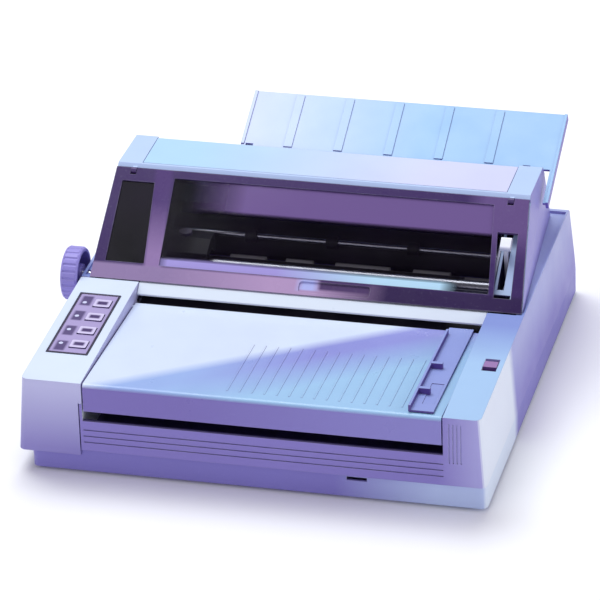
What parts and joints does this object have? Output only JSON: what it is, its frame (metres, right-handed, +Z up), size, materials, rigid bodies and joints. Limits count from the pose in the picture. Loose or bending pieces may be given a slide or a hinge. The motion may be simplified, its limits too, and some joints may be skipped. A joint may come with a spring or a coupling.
{
  "type": "dot matrix printer",
  "caption": "Desktop dot matrix printer with a front paper table and key panel, a smoked hinged cover, a lidded top, a ribbed rear sheet guide and a platen knob.",
  "frame": {"origin": "middle of the printer's footprint, on the surface it stands on", "axes": "+X to the printer's right as seen from the front, +Y to the rear, +Z up"},
  "size_m": [0.428, 0.414, 0.1843],
  "materials": {
    "case_plastic": "moulded, fine grain",
    "pan_plastic": "moulded, fine grain",
    "pod_plastic": "moulded, fine grain",
    "panel_black": "moulded, smooth",
    "key_plastic": "moulded, smooth",
    "lamp_plastic": "moulded, smooth",
    "table_plastic": "moulded, fine grain",
    "guide_plastic": "moulded, fine grain",
    "sill_plastic": "moulded, fine grain",
    "housing_plastic": "moulded, fine grain",
    "smoked_plastic": "moulded, smooth",
    "smoked_glass": "smoked, tinted",
    "lid_plastic": "moulded, fine grain",
    "sheet_guide_plastic": "moulded, fine grain",
    "frame_steel": "brushed",
    "dark_plastic": "moulded, fine grain",
    "roller_rubber": "ground",
    "foot_rubber": "ground",
    "shaft_steel": "polished",
    "gear_nylon": "moulded, smooth",
    "brass": "machined",
    "motor_steel": "brushed",
    "head_alloy": "cast, blackened",
    "knob_plastic": "moulded, fine grain",
    "board_green": "moulded, smooth",
    "supply_steel": "painted",
    "switch_plastic": "moulded, smooth",
    "screw_steel": "brushed",
    "lever_plastic": "moulded, smooth"
  },
  "bodies": {
    "case": {"bottom_pan": "pan_plastic", "rubber_feet": "foot_rubber", "main_case": "case_plastic", "control_pod": "pod_plastic", "key_frame": "panel_black", "indicator_lamps": "lamp_plastic", "paper_sill": "sill_plastic", "upper_housing": "housing_plastic", "left_frame": "frame_steel", "right_frame": "frame_steel", "paper_floor": "dark_plastic", "carriage_shaft": "shaft_steel", "carriage_rail": "frame_steel", "carriage_belt": "roller_rubber", "carriage_motor": "motor_steel", "feed_motor": "motor_steel", "tractor_rod": "shaft_steel", "control_board": "board_green", "power_supply": "supply_steel", "rear_sockets": "dark_plastic", "case_screws": "screw_steel"},
    "key_1": {"key_1": "key_plastic"},
    "key_2": {"key_2": "key_plastic"},
    "key_3": {"key_3": "key_plastic"},
    "key_4": {"key_4": "key_plastic"},
    "selector": {"selector_slide": "dark_plastic"},
    "table": {"front_table": "table_plastic"},
    "edge_guide": {"edge_guide": "guide_plastic"},
    "smoked_cover": {"front_cover": "smoked_plastic", "cover_window": "smoked_glass"},
    "lid": {"top_lid": "lid_plastic"},
    "sheet_guide": {"sheet_guide": "sheet_guide_plastic"},
    "platen": {"platen_core": "shaft_steel", "platen_sleeve": "roller_rubber", "platen_gear": "gear_nylon"},
    "idler_a": {"idler_gear_a": "gear_nylon"},
    "idler_b": {"idler_gear_b": "gear_nylon"},
    "feed_roller": {"feed_shaft": "shaft_steel", "feed_sleeves": "roller_rubber", "feed_gear": "gear_nylon", "feed_knob": "knob_plastic"},
    "pinion": {"motor_pinion": "brass"},
    "pressure_rollers": {"pressure_rollers": "gear_nylon"},
    "carriage": {"carriage": "dark_plastic", "print_head": "head_alloy", "ribbon_cartridge": "dark_plastic"},
    "ribbon_knob": {"ribbon_knob": "key_plastic"},
    "drive_pulley": {"drive_pulley": "gear_nylon"},
    "return_pulley": {"return_pulley": "gear_nylon"},
    "bail": {"paper_bail": "shaft_steel"},
    "bail_rollers": {"bail_rollers": "roller_rubber"},
    "lever": {"thickness_lever": "lever_plastic"},
    "tractor_shaft": {"tractor_shaft": "frame_steel"},
    "tractor_idler_a": {"tractor_idler_a": "gear_nylon"},
    "tractor_idler_b": {"tractor_idler_b": "gear_nylon"},
    "tractor_left": {"tractor_left": "dark_plastic"},
    "tractor_right": {"tractor_right": "dark_plastic"},
    "tractor_door_left": {"tractor_door_left": "guide_plastic"},
    "tractor_door_right": {"tractor_door_right": "guide_plastic"},
    "power_switch": {"power_switch": "switch_plastic"}
  },
  "joints": [
    {"name": "key_1_press", "type": "slide", "parent": "case", "child": "key_1", "axis": [0, 0.0106, -0.9999], "range_m": [0, 0.0012], "stiffness_N_per_m": 150},
    {"name": "key_2_press", "type": "slide", "parent": "case", "child": "key_2", "axis": [0, 0.0106, -0.9999], "range_m": [0, 0.0012], "stiffness_N_per_m": 150},
    {"name": "key_3_press", "type": "slide", "parent": "case", "child": "key_3", "axis": [0, 0.0106, -0.9999], "range_m": [0, 0.0012], "stiffness_N_per_m": 150},
    {"name": "key_4_press", "type": "slide", "parent": "case", "child": "key_4", "axis": [0, 0.0106, -0.9999], "range_m": [0, 0.0012], "stiffness_N_per_m": 150},
    {"name": "selector_slide", "type": "slide", "parent": "case", "child": "selector", "axis": [0, 0.9999, 0.0106], "range_m": [-0.004, 0.004]},
    {"name": "table_hinge", "type": "hinge", "parent": "case", "child": "table", "pos_m": [0.0175, -0.042, 0.0788], "axis": [-1, 0, 0], "range_deg": [0, 75]},
    {"name": "edge_guide_slide", "type": "slide", "parent": "table", "child": "edge_guide", "axis": [1, 0, 0], "range_m": [-0.2, 0.005]},
    {"name": "cover_hinge", "type": "hinge", "parent": "case", "child": "smoked_cover", "pos_m": [0.0175, 0.07585, 0.15569], "axis": [-1, 0, 0], "range_deg": [0, 100]},
    {"name": "lid_hinge", "type": "hinge", "parent": "case", "child": "lid", "pos_m": [0.0175, 0.133, 0.1587], "axis": [-1, 0, 0], "range_deg": [0, 100]},
    {"name": "sheet_guide_hinge", "type": "hinge", "parent": "case", "child": "sheet_guide", "pos_m": [0.0175, 0.14661, 0.15352], "axis": [1, 0, 0], "range_deg": [0, 50]},
    {"name": "platen_spin", "type": "hinge", "parent": "case", "child": "platen", "pos_m": [0.0175, 0.07686, 0.096], "axis": [1, 0, 0], "continuous": true},
    {"name": "idler_a_spin", "type": "hinge", "parent": "case", "child": "idler_a", "pos_m": [-0.155, 0.0159, 0.08997], "axis": [1, 0, 0], "continuous": true},
    {"name": "idler_b_spin", "type": "hinge", "parent": "case", "child": "idler_b", "pos_m": [-0.155, 0.04078, 0.09243], "axis": [1, 0, 0], "continuous": true},
    {"name": "feed_spin", "type": "hinge", "parent": "case", "child": "feed_roller", "pos_m": [0.0175, -0.004, 0.088], "axis": [1, 0, 0], "continuous": true},
    {"name": "pinion_spin", "type": "hinge", "parent": "case", "child": "pinion", "pos_m": [-0.155, 0.04078, 0.07118], "axis": [1, 0, 0], "continuous": true},
    {"name": "pressure_spin", "type": "hinge", "parent": "case", "child": "pressure_rollers", "pos_m": [0.0175, 0.05769, 0.08258], "axis": [1, 0, 0], "continuous": true},
    {"name": "tractor_shaft_spin", "type": "hinge", "parent": "case", "child": "tractor_shaft", "pos_m": [0.0175, -0.05188, 0.04783], "axis": [1, 0, 0], "continuous": true},
    {"name": "tractor_idler_a_spin", "type": "hinge", "parent": "case", "child": "tractor_idler_a", "pos_m": [-0.155, -0.01932, 0.07514], "axis": [1, 0, 0], "continuous": true},
    {"name": "tractor_idler_b_spin", "type": "hinge", "parent": "case", "child": "tractor_idler_b", "pos_m": [-0.155, -0.03656, 0.06068], "axis": [1, 0, 0], "continuous": true},
    {"name": "carriage_slide", "type": "slide", "parent": "case", "child": "carriage", "axis": [1, 0, 0], "range_m": [0, 0.258]},
    {"name": "drive_pulley_spin", "type": "hinge", "parent": "case", "child": "drive_pulley", "pos_m": [0.158, 0.039, 0.085], "axis": [0, 0, 1], "continuous": true},
    {"name": "return_pulley_spin", "type": "hinge", "parent": "case", "child": "return_pulley", "pos_m": [-0.13, 0.039, 0.085], "axis": [0, 0, 1], "continuous": true},
    {"name": "ribbon_knob_spin", "type": "hinge", "parent": "carriage", "child": "ribbon_knob", "pos_m": [-0.112, 0.035, 0.114], "axis": [0, 0, 1], "continuous": true},
    {"name": "bail_swing", "type": "hinge", "parent": "case", "child": "bail", "pos_m": [0.0175, 0.07686, 0.126], "axis": [-1, 0, 0], "range_deg": [0, 25]},
    {"name": "bail_roller_spin", "type": "hinge", "parent": "bail", "child": "bail_rollers", "pos_m": [0.0175, 0.05639, 0.10929], "axis": [1, 0, 0], "continuous": true},
    {"name": "lever_swing", "type": "hinge", "parent": "case", "child": "lever", "pos_m": [0.183, 0.048, 0.08], "axis": [1, 0, 0], "range_deg": [0, 18]},
    {"name": "tractor_left_slide", "type": "slide", "parent": "case", "child": "tractor_left", "axis": [1, 0, 0], "range_m": [0, 0.11]},
    {"name": "tractor_right_slide", "type": "slide", "parent": "case", "child": "tractor_right", "axis": [1, 0, 0], "range_m": [-0.11, 0]},
    {"name": "door_left_hinge", "type": "hinge", "parent": "tractor_left", "child": "tractor_door_left", "pos_m": [-0.1118, -0.07488, 0.05923], "axis": [0, -1, 0], "range_deg": [0, 95]},
    {"name": "door_right_hinge", "type": "hinge", "parent": "tractor_right", "child": "tractor_door_right", "pos_m": [0.1468, -0.07488, 0.05923], "axis": [0, 1, 0], "range_deg": [0, 95]},
    {"name": "switch_rock", "type": "hinge", "parent": "case", "child": "power_switch", "pos_m": [0.1695, 0.192, 0.0435], "axis": [1, 0, 0], "range_deg": [0, 8]}
  ],
  "couplings": [
    {"joint": "idler_b_spin", "follows": "platen_spin", "ratio": -1.6364},
    {"joint": "idler_a_spin", "follows": "platen_spin", "ratio": 2},
    {"joint": "feed_spin", "follows": "platen_spin", "ratio": -2.5714},
    {"joint": "pinion_spin", "follows": "platen_spin", "ratio": 3},
    {"joint": "pressure_spin", "follows": "platen_spin", "ratio": -3.6},
    {"joint": "tractor_idler_a_spin", "follows": "platen_spin", "ratio": 2},
    {"joint": "tractor_idler_b_spin", "follows": "platen_spin", "ratio": -2},
    {"joint": "tractor_shaft_spin", "follows": "platen_spin", "ratio": 2.5714},
    {"joint": "drive_pulley_spin", "follows": "carriage_slide", "rad_per_m": 200},
    {"joint": "return_pulley_spin", "follows": "carriage_slide", "rad_per_m": 200}
  ]
}
